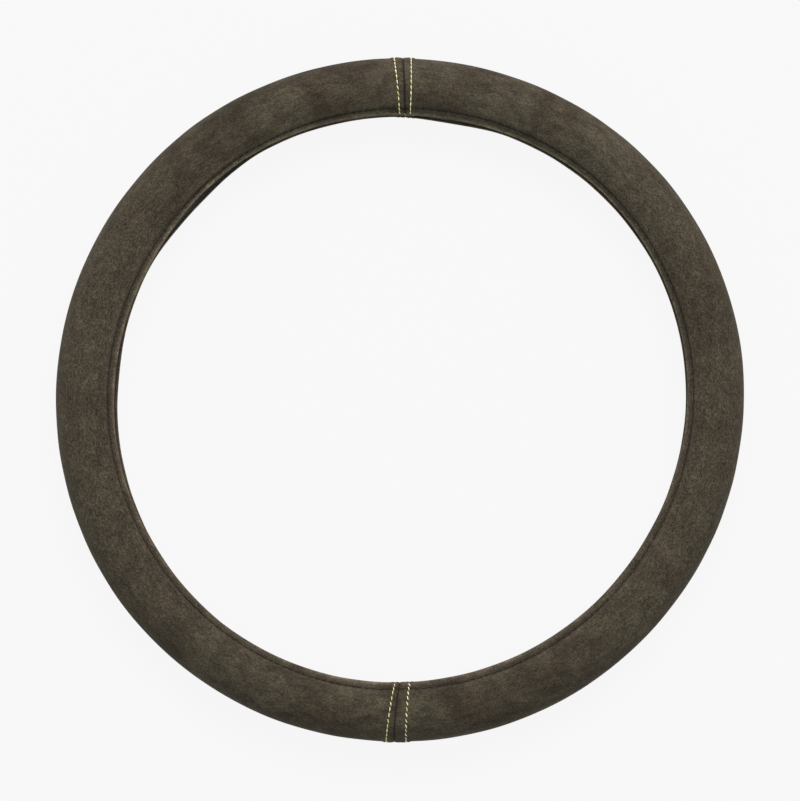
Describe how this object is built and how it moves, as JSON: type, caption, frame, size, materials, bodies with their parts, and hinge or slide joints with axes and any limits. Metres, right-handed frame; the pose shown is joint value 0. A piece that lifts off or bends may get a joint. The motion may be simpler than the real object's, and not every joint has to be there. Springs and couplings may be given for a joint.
{
  "type": "steering wheel cover",
  "caption": "Stretch-on cover for a car's steering wheel: dark microfibre suede sewn over a rubber ring, with yellow topstitched seams at the top and bottom.",
  "frame": {"origin": "the ring's centre, on the surface that the cover lies on", "axes": "+Z along the ring's axis, out of its front (the driver's side), which faces up as the cover lies on its back; +Y towards the seam at the top of the ring; +X towards the ring's right side seen from the front"},
  "size_m": [0.3857, 0.3843, 0.0342],
  "materials": {
    "suede": "dark brown-grey microfibre suede, matt nap",
    "rubber": "black moulded rubber, matt",
    "yellow_thread": "pale yellow polyester sewing thread, slight sheen",
    "dark_thread": "dark brown polyester sewing thread"
  },
  "bodies": {
    "root": {"rubber_ring": "rubber", "right_suede_panel": "suede", "left_suede_panel": "suede", "front_lip_stitching": "dark_thread", "back_lip_stitching": "dark_thread", "top_joining_thread": "dark_thread", "top_right_topstitch": "yellow_thread", "top_left_topstitch": "yellow_thread", "bottom_joining_thread": "dark_thread", "bottom_left_topstitch": "yellow_thread", "bottom_right_topstitch": "yellow_thread"}
  },
  "joints": []
}
